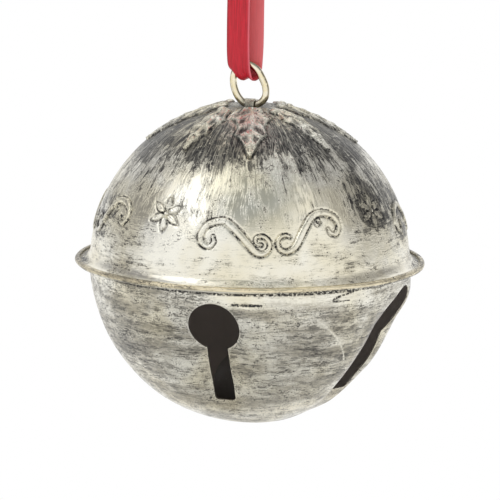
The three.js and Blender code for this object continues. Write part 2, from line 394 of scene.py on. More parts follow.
def petal(along, aside, start, end, width):
    """An almond between two distances from its foot: distance to its edge, and its height."""
    t = np.clip((along - start) / (end - start), 0, 1)
    half = width * np.sin(math.pi * t**0.8) ** 0.8
    beyond = np.maximum(np.maximum(start - along, along - end), 0)
    edge = np.hypot(np.maximum(np.abs(aside) - half, 0), beyond)
    inside = np.clip(1 - np.abs(aside) / np.maximum(half, 1e-6), 0, 1)
    distance = np.where(edge > 0, edge, -inside * half)
    vein = 1 - 0.75 * hump(aside, 0.16)
    return distance, np.sqrt(inside) * vein * (edge == 0)


def flower_relief(azimuth, latitude):
    across = quarter(azimuth, FLOWER_AZIMUTH) * DEGREE * math.cos(math.radians(FLOWER_LATITUDE))
    up = (latitude - FLOWER_LATITUDE) * DEGREE
    radius = np.hypot(across, up)
    angle = np.degrees(np.arctan2(up, across)) - FLOWER_TURN
    sector = np.radians(angle - 60 * np.round(angle / 60))
    along, aside = radius * np.cos(sector), radius * np.sin(sector)
    distance, height = petal(along, aside, 0.75, 4.6, 0.85)
    height = np.maximum(height, np.sqrt(np.clip(1 - (radius / BUD_RADIUS) ** 2, 0, 1)))
    return np.minimum(distance, radius - BUD_RADIUS), height * FLOWER_SHARE


def leaf(along, aside, length, width):
    """A holly leaf with its foot at 0: distance to its edge, and its height."""
    t = np.clip(along / length, 0, 1)
    teeth = np.abs(np.sin(math.pi * 3.0 * t**0.9)) ** 0.7
    half = width * np.sin(math.pi * np.clip(t * 0.96 + 0.04, 0, 1) ** 0.72) ** 0.8 * (1 - 0.34 * teeth)
    beyond = np.maximum(np.maximum(-along, along - length), 0)
    edge = np.hypot(np.maximum(np.abs(aside) - half, 0), beyond)
    inside = np.clip(1 - np.abs(aside) / np.maximum(half, 1e-6), 0, 1)
    distance = np.where(edge > 0, edge, -np.minimum(inside * half, 1.5))
    side_veins = (0.5 + 0.5 * np.cos(2 * math.pi * (along - 0.9 * np.abs(aside)) / 4.3)) ** 2.5
    middle_vein = hump(aside, 0.38)
    lip = hump(inside * half - 0.35, 0.3)
    pillow = np.clip(inside * 4, 0, 1) ** 0.6
    ribs = np.maximum(np.maximum(0.75 * side_veins, middle_vein), 0.7 * lip)
    return distance, pillow * (0.38 + 0.75 * ribs) * (edge == 0)


LEAVES = [  # azimuth of the middle, foot and tip as distances from the pole, half width, turn
    (13.4, 6.2, 28.5, 5.6, 0.02),
    (59.0, 8.8, 27.5, 3.9, -0.08),
]
BERRY_AZIMUTHS = (36.7 - 14, 36.7 + 14)
BERRY_RING = 9.4  # distance from the pole
BERRY_RADIUS = 1.35


def crown_relief(azimuth, latitude):
    from_pole = (90 - latitude) * DEGREE
    ring = SHELL_RADIUS * np.cos(np.radians(latitude))
    distance = np.full(len(azimuth), FAR)
    height = np.zeros(len(azimuth))
    for middle, foot, tip, width, turn in LEAVES:
        aside = ring * np.radians(quarter(azimuth, middle)) + turn * (from_pole - foot)
        away, rise = leaf(from_pole - foot, aside, tip - foot, width)
        distance = np.minimum(distance, away)
        height = np.maximum(height, rise)
    for middle in BERRY_AZIMUTHS:
        beside = ring * np.radians(quarter(azimuth, middle))
        from_berry = np.hypot(beside, from_pole - BERRY_RING)
        distance = np.minimum(distance, from_berry - BERRY_RADIUS)
        height = np.maximum(height, 1.5 * np.sqrt(np.clip(1 - (from_berry / BERRY_RADIUS) ** 2, 0, 1)))
    return distance, height


def dome_relief(turn, latitude):
    """Height of the pressed relief in millimetres, and distance to the nearest motif's edge."""
    azimuth = np.degrees(turn) + 90
    to_scroll, scroll = scroll_relief(azimuth, latitude)
    to_flower, flower = flower_relief(azimuth, latitude)
    to_crown, crown = crown_relief(azimuth, latitude)
    distance = np.minimum(to_scroll, to_flower)
    raised = np.maximum(scroll, flower) * RELIEF_HEIGHT
    raised = np.where(to_crown < distance, crown * RELIEF_HEIGHT * CROWN_SHARE, raised)
    distance = np.minimum(distance, to_crown)
    groove = GROOVE_DEPTH * hump(distance - 0.18, 0.24)
    return raised - groove, distance


# Upper shell.

COVE_TOP = SEAM_GAP + SHEET + COVE_RADIUS
COVE_CENTRE = math.sqrt((SHELL_RADIUS + COVE_RADIUS) ** 2 - COVE_TOP**2)
COVE_ANGLE = math.atan2(COVE_TOP, COVE_CENTRE)
WALL_LENGTH = SHELL_RADIUS * (math.pi / 2 - COVE_ANGLE)
COVE_LENGTH = COVE_RADIUS * (math.pi / 2 - COVE_ANGLE)
STAPLE_LEG = 1.55
STAPLE_SIDE = -0.5
SLIT_HALF = (1.35, 0.42)
POLE_DISC = 0.35  # the grid's first ring round the pole, whose triangles are never split
COARSEST = 1.7  # edge length where nothing is pressed or cut
FINEST = 0.26
CELLS_AROUND = 180
SPLIT_ROUNDS = 3


def dome_base(points, rise=0.0):
    """Places for (turn, distance from the pole down the outside), moved out by rise."""
    turn, along = points.T
    wall = np.minimum(along, WALL_LENGTH) / SHELL_RADIUS
    radius = (SHELL_RADIUS + rise) * np.sin(wall)
    height = (SHELL_RADIUS + rise) * np.cos(wall)
    dip = np.cos(np.clip(radius / CROWN_DIP_RADIUS, 0, 1) * math.pi / 2) ** 2
    height = height - CROWN_DIP * dip
    sweep = math.pi + COVE_ANGLE + np.clip(along - WALL_LENGTH, 0, COVE_LENGTH) / COVE_RADIUS
    in_cove = along > WALL_LENGTH
    radius = np.where(in_cove, COVE_CENTRE + COVE_RADIUS * np.cos(sweep), radius)
    height = np.where(in_cove, COVE_TOP + COVE_RADIUS * np.sin(sweep), height)
    radius = radius + np.maximum(along - WALL_LENGTH - COVE_LENGTH, 0)
    return np.stack([radius * np.cos(turn), radius * np.sin(turn), height], axis=1)


def dome_latitude(points):
    return 90 - points[:, 1] / DEGREE


def slit_cell(points):
    """The wanted edge length round the crown's slits, coarse elsewhere."""
    slit = np.hypot(*(dome_base(points)[:, :2] / (2.2, 2.6)).T)
    cell = np.clip(0.2 + 0.8 * np.maximum(slit - 1, 0), 0.2, COARSEST)
    return np.where(points[:, 1] < POLE_DISC, COARSEST, cell)


def dome_cell(points):
    """The wanted edge length on the outside: fine at the motifs and the slits."""
    _, distance = dome_relief(points[:, 0], dome_latitude(points))
    fine = 0.36 + 0.8 * np.maximum(np.abs(distance - 0.2) - 0.5, 0)
    return np.minimum(np.where(points[:, 1] < POLE_DISC, COARSEST, fine), slit_cell(points))


def cut_slits(places, triangles):
    """Opens the two slits that the staple's legs go through."""
    aside = np.abs(places[:, 1]) - STAPLE_LEG
    inside = (np.abs(places[:, 0] - STAPLE_SIDE) < SLIT_HALF[0]) & (np.abs(aside) < SLIT_HALF[1])
    inside &= places[:, 2] > 30
    return triangles[~inside[triangles].any(axis=1)]


def dome_grid(cell):
    """The dome's grid with edges of the wanted length, as (turn, distance from the pole) and triangles."""
    end = WALL_LENGTH + COVE_LENGTH + UPPER_FLANGE_RADIUS - COVE_CENTRE
    stations = np.concatenate([
        [0],
        np.linspace(POLE_DISC, WALL_LENGTH, 42)[:-1],
        np.linspace(WALL_LENGTH, WALL_LENGTH + COVE_LENGTH, 13)[:-1],
        [WALL_LENGTH + COVE_LENGTH, end],
    ])
    points, triangles = turned_grid(stations, CELLS_AROUND)
    points, triangles = refine(points, triangles, dome_base, cell, SPLIT_ROUNDS)
    kept, triangles = weld(dome_base(points), triangles)
    points = points[kept]
    return points, cut_slits(dome_base(points), triangles)


PATCHES = [  # brushed-on wash: azimuth, latitude, spread of each, amount
    (-50, 46, 34, 11, 0.34),
    (-20, 50, 16, 7, 0.16),
    (72, 46, 27, 17, 0.50),
    (98, 30, 18, 14, 0.26),
    (15, 50, 16, 8, 0.30),
    (27, 45, 9, 7, 0.10),
    (4, 37, 13, 8, 0.22),
    (2, 24, 12, 6, 0.14),
    (33, 34, 12, 9, -0.14),
    (-10, 36, 18, 9, -0.20),
    (48, 30, 10, 8, -0.12),
    (20, 74, 70, 6, -0.30),
    (-62, 20, 14, 10, 0.44),
    (-45, 22, 20, 10, 0.12),
    (70, 24, 13, 9, 0.78),
    (95, 19, 8, 10, 0.60),
    (150, 46, 28, 16, 0.30),
    (-150, 44, 30, 14, 0.30),
    (200, 22, 24, 10, 0.22),
    (118, 20, 16, 9, 0.24),
]


def dome_patina(azimuth, latitude, places):
    """The share of the surface that the dark wash covers round each point."""
    cover = 0.11 + 0.56 * smooth_step(40, 56, latitude + 6 * ripple(places, 20, 5))
    cover += 0.06 * smooth_step(20, 38, latitude)
    cover = with_spots(cover, azimuth, latitude, PATCHES)
    cover += 0.08 * ripple(places, 22, 11)
    return np.clip(cover, 0.02, 0.90)


def flange_wash_and_reflection(azimuth, along, places):
    """Painted dark reflection in the lower cove and on the flange at the sides as seen from the camera, and
    wash in a thin line at the cove's foot.
    """
    offset = offset_from(azimuth, CAMERA_AZIMUTH)
    # Painted dark reflection at the bell's sides as seen from the camera.
    sides = smooth_step(66, 84, np.abs(offset))
    low = smooth_step(WALL_LENGTH + 1.2, WALL_LENGTH + 2.6, along)
    foot = hump(along - WALL_LENGTH - COVE_LENGTH, 0.25)
    top = hump(along - WALL_LENGTH - 0.4, 0.3)
    patchy = 0.5 + 0.5 * ripple(places, 6, 62)
    return np.clip(low * sides * (0.7 + 0.3 * patchy) + 0.5 * foot * patchy + 0.10 * top, 0, 1)


def add_upper_shell(materials):
    points, triangles = dome_grid(dome_cell)
    base = dome_base(points)
    rise, distance = dome_relief(points[:, 0], dome_latitude(points))
    wobble = 0.05 * ripple(base, 24, 3) * smooth_step(WALL_LENGTH, WALL_LENGTH - 8, points[:, 1])
    outer = dome_base(points, rise + wobble)
    inner_points, inner_triangles = dome_grid(slit_cell)
    inner_base = dome_base(inner_points)
    inner = inner_base - SHEET * point_normals(inner_base, inner_triangles)
    azimuth = np.degrees(points[:, 0]) + 90
    latitude = dome_latitude(points)
    recess = np.clip(1.5 * hump(distance - 0.14, 0.25), 0, 1)
    crest = rise / RELIEF_HEIGHT
    crest = np.where(latitude > 46, 2.4 * (crest - 0.52), crest)
    recess *= np.clip(0.78 + 0.5 * ripple(base, 3.0, 63), 0.2, 1)
    gilt_from = WALL_LENGTH + COVE_LENGTH - 1.0
    tarnish = 0.14 + 0.66 * smooth_step(gilt_from, gilt_from + 0.8, points[:, 1])
    tarnish *= smooth_step(WALL_LENGTH - 2.5, WALL_LENGTH + 0.5, points[:, 1])
    values = {
        "patina": dome_patina(azimuth, latitude, base),
        "recess": np.maximum(recess, flange_wash_and_reflection(azimuth, points[:, 1], base)),
        "raised": np.clip(crest, 0, 1),
        "tarnish": tarnish,
    }
    values = {key: np.concatenate([value, np.zeros(len(inner))]) for key, value in values.items()}
    twin = key_twin(base, inner_base)
    places, faces, kinds = close_sheet(outer, triangles, inner, inner_triangles, twin)
    return add_mesh("upper_shell_pressed", places, faces, materials, kinds, values, centre=BELL_CENTRE)


# Lower shell.

HOLE_RADIUS = 6.4
HOLE_HEIGHT = -10.2
SLOT_WIDTH = 5.2
SLOT_END = -30.9
SLOT_CORNER = 0.9
KEYHOLES = 4
FLAT_DEPTH = 3.7
FLAT_SPREAD = 14.4
FLAT_TOP = (-7, -24)
FLAT_LOW = (-42, -62)
BEND_HEIGHT = -SHEET - LOWER_BEND_RADIUS
BEND_CENTRE = math.sqrt((SHELL_RADIUS + LOWER_BEND_RADIUS) ** 2 - BEND_HEIGHT**2)
BEND_ANGLE = math.atan2(-BEND_HEIGHT, BEND_CENTRE)
BOWL_LENGTH = SHELL_RADIUS * (math.pi / 2 - BEND_ANGLE)
BEND_LENGTH = LOWER_BEND_RADIUS * (math.pi / 2 - BEND_ANGLE)
HEM_HEIGHT = 2 * SEAM_GAP + 3 * SHEET
HEM_FOLD = HEM_HEIGHT / 2
LEDGE_LENGTH = HEM_RADIUS - HEM_FOLD - BEND_CENTRE
HANDLING_DENTS = [  # azimuth, latitude, spread of each, depth
    (24, -6.6, 5.5, 1.1, 0.34),
    (33, -5.2, 6.0, 1.2, -0.30),
    (44, -4.6, 4.0, 0.9, -0.24),
    (53, -6.2, 6.0, 1.2, 0.42),
    (66, -5.0, 7.0, 1.2, -0.20),
    (-38, -6.5, 6.0, 1.5, 0.16),
    (130, -8.0, 7.0, 2.0, 0.22),
    (215, -9.0, 6.0, 2.2, 0.20),
    (12.5, -5.6, 4.2, 0.45, 0.20),
    (77.5, -37, 11.5, 19, 2.4),
    (97, -41, 7.5, 16, -2.0),
    (76, -13, 9, 9, 0.8),
    (100, -13, 7, 10, -0.8),
    (45, -72, 60, 9, -0.5),
]


def flattening(azimuth, latitude):
    comes_in = smooth_step(*FLAT_TOP, latitude)
    goes_out = 1 - smooth_step(*FLAT_LOW, latitude)
    return FLAT_DEPTH * comes_in * goes_out * hump(quarter(azimuth, 0), FLAT_SPREAD)


def bowl_radius(directions):
    """Distance from the centre to the outside of the bowl along unit directions."""
    azimuth = np.degrees(np.arctan2(directions[:, 1], directions[:, 0]))
    latitude = np.degrees(np.arcsin(np.clip(directions[:, 2], -1, 1)))
    radius = SHELL_RADIUS - flattening(azimuth, latitude)
    radius += 0.07 * ripple(directions * SHELL_RADIUS, 20, 8) * smooth_step(-2, -12, latitude)
    return with_spots(radius, azimuth + 90, latitude, HANDLING_DENTS, sign=-1)


def bowl_base(points):
    """Places for (turn, distance from the bottom pole up the outside and round the hem)."""
    turn, along = points.T
    wall = np.minimum(along, BOWL_LENGTH) / SHELL_RADIUS
    directions = np.stack([np.sin(wall) * np.cos(turn), np.sin(wall) * np.sin(turn), -np.cos(wall)], axis=1)
    places = directions * bowl_radius(directions)[:, None]
    past = along - BOWL_LENGTH
    sweep = math.pi - BEND_ANGLE - np.clip(past, 0, BEND_LENGTH) / LOWER_BEND_RADIUS
    radius = BEND_CENTRE + LOWER_BEND_RADIUS * np.cos(sweep)
    height = BEND_HEIGHT + LOWER_BEND_RADIUS * np.sin(sweep)
    past = past - BEND_LENGTH
    radius = radius + np.clip(past, 0, LEDGE_LENGTH)
    past = past - LEDGE_LENGTH
    fold = np.clip(past / HEM_FOLD, 0, math.pi)
    radius = radius + HEM_FOLD * np.sin(fold)
    height = height + HEM_FOLD * (1 - np.cos(fold))
    radius = radius - np.maximum(past - HEM_FOLD * math.pi, 0)
    hem = smooth_step(BOWL_LENGTH + BEND_LENGTH, BOWL_LENGTH + BEND_LENGTH + LEDGE_LENGTH, along)
    circle = np.stack([np.cos(turn), np.sin(turn), 0 * turn], axis=1) * HEM_RADIUS
    radius = radius + 0.06 * hem * ripple(circle, 16, 21)
    height = height + 0.07 * hem * ripple(circle, 22, 22)
    rim = np.stack([radius * np.cos(turn), radius * np.sin(turn), height], axis=1)
    return np.where((along > BOWL_LENGTH)[:, None], rim, places)


def keyhole_distance(across, height):
    """Signed distance to the keyhole outline seen square on, negative in the opening."""
    hole = np.hypot(across, height - HOLE_HEIGHT) - HOLE_RADIUS
    middle = (HOLE_HEIGHT + SLOT_END) / 2
    q = np.stack([
        np.abs(across) - SLOT_WIDTH / 2 + SLOT_CORNER,
        np.abs(height - middle) - (HOLE_HEIGHT - SLOT_END) / 2 + SLOT_CORNER,
    ])
    slot = np.hypot(*np.maximum(q, 0)) + np.minimum(q.max(axis=0), 0) - SLOT_CORNER
    return np.minimum(hole, slot)


def turned_by(places, angle):
    c, s = math.cos(angle), math.sin(angle)
    return places @ np.array([(c, s, 0), (-s, c, 0), (0, 0, 1)])


def nearest_keyhole(places):
    """Distance to the nearest keyhole's outline, far away where there is none."""
    found = np.full(len(places), FAR)
    for k in range(KEYHOLES):
        local = turned_by(places, -k * 2 * math.pi / KEYHOLES)
        facing = (local[:, 1] < -12) & (local[:, 2] < -0.6)
        distance = keyhole_distance(local[:, 0], local[:, 2])
        found = np.where(facing, np.minimum(found, distance), found)
    return found


SCRATCH = smooth_line([  # azimuth and latitude of a long bright scratch, and half its width
    (36.9, -10.3, 0.10), (42.8, -14.6, 0.17), (49.0, -19.9, 0.17), (52.9, -24.5, 0.13), (56.3, -30.0, 0.06),
])
# Painted shade: a dark dash in the small dent under the hem.
NICK_SHADE = smooth_line([(7.2, -5.6, 0.24), (12.4, -5.6, 0.28), (17.6, -5.7, 0.2)])
CREASE_SHADE = smooth_line([  # painted shade: a dark line in the crease of a knock under the hem
    (52.0, -5.4, 0.02), (48.0, -5.3, 0.10), (44.6, -4.9, 0.22), (45.4, -4.0, 0.16), (48.5, -3.2, 0.12),
    (53, -2.4, 0.08),
])
# Painted highlight: a bright line along the edge of a knock, cleared of wash.
GLINT = smooth_line([(45.6, -4.5, 0.08), (51.0, -3.9, 0.26), (60.0, -3.3, 0.26), (72.0, -3.0, 0.12)])


MARK_LATITUDE = 15  # where a degree of azimuth is measured for the marks


def mark_distance(azimuth, latitude, mark):
    """Distance in millimetres to a mark drawn in degrees."""
    narrowing = math.cos(math.radians(MARK_LATITUDE))
    flat = np.stack([azimuth * DEGREE * narrowing, latitude * DEGREE], axis=1)
    return line_distance(flat, mark * (DEGREE * narrowing, DEGREE, 1))[0]


def bowl_cell(points):
    distance = np.abs(nearest_keyhole(bowl_base(points)))
    azimuth = offset_from(np.degrees(points[:, 0]) + 90, 0)
    latitude = points[:, 1] / DEGREE - 90
    for mark in (SCRATCH, NICK_SHADE, CREASE_SHADE, GLINT):
        distance = np.minimum(distance, 2 * np.maximum(mark_distance(azimuth, latitude, mark), 0))
    near_slot = FINEST + 0.3 * np.maximum(distance - 0.6, 0)
    shoulder = 0.9 + 0.25 * np.abs(latitude + 8)
    return np.clip(np.minimum(near_slot, shoulder), FINEST, COARSEST)


def onto_outline(places):
    """Moves points inside a keyhole to its outline, staying on the bowl's surface."""
    step = 1e-3
    for _ in range(5):
        distance = nearest_keyhole(places)
        rises = [nearest_keyhole(places + move) - distance for move in np.eye(3) * step]
        slope = np.stack(rises, axis=1) / step
        slope /= np.maximum(np.linalg.norm(slope, axis=1, keepdims=True), 1e-9)
        places = places - slope * distance[:, None]
        directions = unit(places)
        places = directions * bowl_radius(directions)[:, None]
    return places


def cut_keyholes(places, triangles):
    inside = nearest_keyhole(places) < 0
    triangles = triangles[~inside[triangles].all(axis=1)]
    moved = np.intersect1d(np.nonzero(inside)[0], triangles)
    places = places.copy()
    places[moved] = onto_outline(places[moved])
    used, back = np.unique(triangles, return_inverse=True)
    return used, places[used], back.reshape(-1, 3)


BOWL_PATCHES = [
    (30, -12, 32, 9, -0.07),
    (62, -22, 24, 16, 0.12),
    (-45, -22, 26, 18, 0.08),
]


def bowl_patina(azimuth, latitude, places):
    """The share of the surface that the dark wash covers round each point."""
    cover = 0.49 + 0.08 * ripple(places, 24, 31) + 0.03 * ripple(places, 9, 32)
    cover += 0.07 * hump(latitude + 30, 12)
    cover -= 0.10 * hump(latitude + 54, 7)
    cover = with_spots(cover, azimuth, latitude, BOWL_PATCHES)
    offset = offset_from(azimuth, 30)
    cover -= 0.45 * smooth_step(40, 22, np.abs(offset)) * smooth_step(-8.0, -5.5, latitude)
    return np.clip(cover, 0.02, 0.95)


def hem_wash_shadow_and_reflection(azimuth, along, fold_start, places):
    """Darkening at the hem: a painted shadow in a thin line all round under the hem's edge, wash in a thick
    band in places, and painted dark reflection on the hem's top at the sides.
    """
    offset = offset_from(azimuth, CAMERA_AZIMUTH)
    # Painted shadow under the hem's edge.
    under = smooth_step(BOWL_LENGTH - 0.55, BOWL_LENGTH - 0.25, along) * (along < fold_start + 0.12)
    thick = smooth_step(fold_start + 1.0, fold_start + 0.7, along)
    thick *= smooth_step(fold_start - 0.3, fold_start, along)
    banded = smooth_step(0, 9, offset) * smooth_step(98, 76, offset)
    banded += 0.6 * smooth_step(150, 175, np.abs(offset))
    upper = smooth_step(fold_start + 0.9, fold_start + 1.5, along)
    patchy = 0.5 + 0.5 * ripple(places, 7, 61)
    # Painted dark reflection on the hem's upper fold at the sides as seen from the camera.
    sides = smooth_step(55, 80, np.abs(offset))
    wavy = 0.75 + 0.35 * ripple(places, 9, 64)
    return 0.9 * under + 1.3 * thick * banded * wavy + upper * (0.04 + 0.8 * sides) * (0.6 + 0.4 * patchy)


def add_lower_shell(materials):
    fold_start = BOWL_LENGTH + BEND_LENGTH + LEDGE_LENGTH
    fold_end = fold_start + HEM_FOLD * math.pi
    end = fold_end + HEM_REACH - HEM_FOLD
    stations = np.concatenate([
        np.linspace(0, BOWL_LENGTH - 1, 43)[:-1],
        np.linspace(BOWL_LENGTH - 1, BOWL_LENGTH, 6)[:-1],
        np.linspace(BOWL_LENGTH, BOWL_LENGTH + BEND_LENGTH, 5)[:-1],
        np.linspace(BOWL_LENGTH + BEND_LENGTH, fold_start, 4)[:-1],
        np.linspace(fold_start, fold_end, 11),
        [end],
    ])
    points, triangles = turned_grid(stations, CELLS_AROUND)
    triangles = triangles[:, ::-1]
    points, triangles = refine(points, triangles, bowl_base, bowl_cell, SPLIT_ROUNDS)
    outer = bowl_base(points)
    kept, triangles = weld(outer, triangles)
    points, outer = points[kept], outer[kept]
    used, outer, triangles = cut_keyholes(outer, triangles)
    along = points[used, 1]
    directions = unit(outer)
    azimuth = np.degrees(np.arctan2(directions[:, 1], directions[:, 0])) + 90
    latitude = np.degrees(np.arcsin(directions[:, 2]))
    edge = nearest_keyhole(outer)
    inner = outer - SHEET * point_normals(outer, triangles)
    rolled = 0.09 * hump(edge, 0.22)
    outer = outer - rolled[:, None] * point_normals(outer, triangles)
    gilt = 0.85 * smooth_step(fold_start + 0.6, fold_start + 1.0, along)
    to_scratch, to_glint, to_nick_shade, to_crease_shade = (
        mark_distance(offset_from(azimuth, 0), latitude, mark) for mark in (SCRATCH, GLINT, NICK_SHADE, CREASE_SHADE)
    )
    scratch = hump(np.maximum(to_scratch, 0), 0.12)
    glint = hump(np.maximum(to_glint, 0), 0.15)
    # Painted shade in the two dents, added to the darkening.
    nick_and_crease_shade = hump(np.maximum(np.minimum(to_nick_shade, to_crease_shade), 0), 0.12) * (along < BOWL_LENGTH)
    values = {
        "patina": np.tile(bowl_patina(azimuth, latitude, outer), 2),
        "recess": np.tile(np.clip(hem_wash_shadow_and_reflection(azimuth, along, fold_start, outer) + 1.4 * nick_and_crease_shade, 0, 1), 2),
        # raised also carries the glint, a painted highlight along a knock's edge.
        "raised": np.tile(np.maximum(0.85 * hump(edge, 0.30), np.maximum(scratch, glint)), 2),
        "tarnish": np.tile(gilt + 0.35 * hump(latitude + 56, 5), 2),
    }
    places, faces, kinds = thicken(outer, inner, triangles)
    return add_mesh("lower_shell_pressed", places, faces, materials, kinds, values, centre=BELL_CENTRE)


# Small metal fittings.


def headings(path):
    """The unit direction of a path at each of its points."""
    return unit(np.gradient(path, axis=0))


def sphere_grid(rows, around):
    """Unit directions over a sphere, and the triangles between them with the poles still unwelded."""
    turns, falls = np.meshgrid(
        np.linspace(0, 2 * math.pi, around, endpoint=False), np.linspace(0, math.pi, rows + 1)
    )
    turns, falls = turns.ravel(), falls.ravel()
    level = np.sin(falls)
    directions = np.stack([level * np.cos(turns), level * np.sin(turns), np.cos(falls)], axis=1)
    cells = []
    for r in range(rows):
        a = r * around + np.arange(around)
        b = r * around + (np.arange(around) + 1) % around
        cells += [np.stack([a, a + around, b + around], axis=1), np.stack([a, b + around, b], axis=1)]
    return directions, np.concatenate(cells)


def sweep(path, across, out, section):
    """Places for a closed section carried along a path: section points run along across and out."""
    places = (
        path[:, None, :]
        + section[None, :, 0, None] * across[:, None, :]
        + section[None, :, 1, None] * out[:, None, :]
    )
    return places.reshape(-1, 3)


def swept_faces(rows, columns):
    """Four-cornered faces over rows of a closed section, with its two ends filled."""
    faces = []
    for r in range(rows - 1):
        for c in range(columns):
            d = (c + 1) % columns
            faces.append((r * columns + c, r * columns + d, (r + 1) * columns + d, (r + 1) * columns + c))
    faces.append(tuple(range(columns))[::-1])
    faces.append(tuple((rows - 1) * columns + c for c in range(columns)))
    return faces


def round_section(radius, sides):
    angle = np.linspace(0, 2 * math.pi, sides, endpoint=False)
    return np.stack([radius * np.cos(angle), radius * np.sin(angle)], axis=1)


def soft_rectangle(width, thickness, corner, per_corner=4):
    """A rectangle with rounded corners, anticlockwise."""
    points = []
    for quarter_turn, (sx, sy) in enumerate([(1, -1), (1, 1), (-1, 1), (-1, -1)]):
        for i in range(per_corner):
            angle = math.radians(-90 + 90 * quarter_turn + 90 * i / (per_corner - 1))
            points.append((
                sx * (width / 2 - corner) + corner * math.cos(angle),
                sy * (thickness / 2 - corner) + corner * math.sin(angle),
            ))
    return np.array(points)


WIRE_RADIUS = 0.9
RING_HALF_WIDTH = 3.75
RING_HALF_HEIGHT = 5.35
RING_LEAN = math.radians(15)
RING_SIDE = -0.35
RING_SPLIT = 0.12
RING_SPRUNG = 0.9  # how far the wire is bent out at its lower right
RING_REACH = math.hypot(RING_HALF_WIDTH * math.sin(RING_LEAN), RING_HALF_HEIGHT * math.cos(RING_LEAN))
RING_SHIFT = (
    -(RING_HALF_HEIGHT**2 - RING_HALF_WIDTH**2) * math.sin(RING_LEAN) * math.cos(RING_LEAN) / RING_REACH
)


RING_REFLECTION_LINES = ((2.2, 0.24), (4.15, 0.26))  # painted dark reflection lines along the wire: angle round it and width


def add_ring(material):
    gap = RING_SPLIT / 2 / RING_HALF_WIDTH
    angle = math.pi / 2 + np.linspace(gap, 2 * math.pi - gap, 181)
    flat = np.stack([RING_HALF_WIDTH * np.cos(angle), RING_HALF_HEIGHT * np.sin(angle)], axis=1)
    sprung = smooth_step(2.0, -4.5, flat[:, 1]) * smooth_step(-2.5, 2.5, flat[:, 0])
    flat[:, 0] += RING_SPRUNG * sprung
    c, s = math.cos(RING_LEAN), math.sin(RING_LEAN)
    leaned = flat @ np.array([(c, s), (-s, c)])
    path = np.stack([leaned[:, 0], 0.05 * np.sin(2 * angle), leaned[:, 1]], axis=1)
    aside = np.tile([0.0, 1.0, 0.0], (len(path), 1))
    out = np.cross(aside, headings(path))
    section = round_section(WIRE_RADIUS, 28)
    places = sweep(path, aside, out, section)
    ends = np.ones(len(path))
    ends[[0, -1]] = 0.86
    middle = np.repeat(path, len(section), axis=0)
    places = middle + (places - middle) * np.repeat(ends, len(section))[:, None]
    centre = RING_FOOT + np.array([RING_SHIFT + RING_SIDE, 0, RING_REACH])
    # Painted shade at the ring's foot where it sits in the staple, and painted dark reflections in two lines
    # at fixed angles round the wire.
    foot = hump(places[:, 2] + RING_REACH, 1.6)
    seen = np.tile(np.arange(len(section)) * 2 * math.pi / len(section), len(path))
    lines = np.maximum(*(hump(seen - angle, width) for angle, width in RING_REFLECTION_LINES))
    values = {"wear": np.maximum(0.8 * foot, lines)}
    faces = swept_faces(len(path), len(section))
    return add_mesh("hanger_ring_wire", places, faces, [material], values=values, centre=centre, sharp=60)


STRAP_WIDTH = 2.4
STRAP_THICKNESS = 0.4
STRAP_BORE = 1.35
STRAP_FOOT = 5.0


def add_staple(material):
    """The strap's middle line: foot, rounded knee, leg, arch over the ring, and down again."""
    reach = STRAP_BORE + STRAP_THICKNESS / 2
    top = RING_FOOT[2] - BELL_CENTRE[2]
    foot = SHELL_RADIUS - SHEET - CROWN_DIP - 0.3 - STRAP_THICKNESS / 2
    knee = 0.35
    half = [(-STRAP_FOOT, foot), (-reach - knee - 0.8, foot)]
    turn = np.radians(np.linspace(-90, 0, 6))
    half += [(-reach - knee + knee * math.cos(a), foot + knee + knee * math.sin(a)) for a in turn]
    arch = np.radians(np.linspace(180, 90, 12))
    half += [(reach * math.cos(a), top + reach * math.sin(a)) for a in arch]
    half = np.array(half)
    line = np.concatenate([half, half[-2::-1] * (-1, 1)])
    path = np.stack([np.full(len(line), STAPLE_SIDE), line[:, 0], line[:, 1]], axis=1)
    aside = np.tile([1.0, 0.0, 0.0], (len(path), 1))
    out = np.cross(headings(path), aside)
    section = soft_rectangle(STRAP_WIDTH, STRAP_THICKNESS, 0.12)
    places = sweep(path, aside, out, section)
    values = {
        "patina": np.full(len(places), 0.62),
        "recess": 0.5 * (places[:, 2] < 39.5),
        "raised": smooth_step(39.5, 41.0, places[:, 2]) * 0.5,
        "tarnish": np.zeros(len(places)),
    }
    faces = swept_faces(len(path), len(section))
    return add_mesh("staple_strap", places, faces, [material], values=values, centre=BELL_CENTRE, sharp=60)


BALL_RADIUS = 8.5


def add_ball(material):
    """The loose steel ball, with the flats and dings of tumbling."""
    directions, triangles = sphere_grid(48, 96)
    radius = BALL_RADIUS - 0.04 * np.abs(ripple(directions * BALL_RADIUS, 3, 41))
    places = directions * radius[:, None]
    kept, triangles = weld(places, triangles)
    low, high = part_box("clapper_ball")
    centre = np.array((low + high) / 2) / MM
    return add_mesh("clapper_ball_steel", places[kept], triangles, [material], centre=centre)


# Ribbon: 10 mm satin, folded lengthwise where it is pulled through the ring.

RIBBON_WIDTH = 10.0
RIBBON_THICKNESS = 0.16
FRONT_PANEL = 6.0
FOLD_LENGTH = 1.0
FOLD_TURN = math.pi * 1.02
PANEL_BOW = 0.30
PANEL_OUT = 0.25  # how far the front panel stands out from the path


def walk(heading, step):
    """The curve that goes one step on in each heading, as its points across and out."""
    middle = (heading[1:] + heading[:-1]) / 2
    return (np.concatenate([[0], np.cumsum(part(middle))]) * step for part in (np.cos, np.sin))


def ribbon_section(gather, pleat, columns):
    """The folded ribbon across its width, as (across, out): a front panel, a fold and a return."""
    t = np.linspace(0, RIBBON_WIDTH, columns)
    fold = smooth_step(FRONT_PANEL - FOLD_LENGTH / 2, FRONT_PANEL + FOLD_LENGTH / 2, t)
    heading = -FOLD_TURN * fold + gather * np.sin(2 * math.pi * t / pleat + 0.6)
    heading += PANEL_BOW * np.cos(math.pi * t / FRONT_PANEL) * (t < FRONT_PANEL)
    across, out = walk(heading, RIBBON_WIDTH / (columns - 1))
    middle = (across.max() + across.min()) / 2
    panel = t < FRONT_PANEL - FOLD_LENGTH / 2
    return across - middle, out - out[panel].mean() + PANEL_OUT


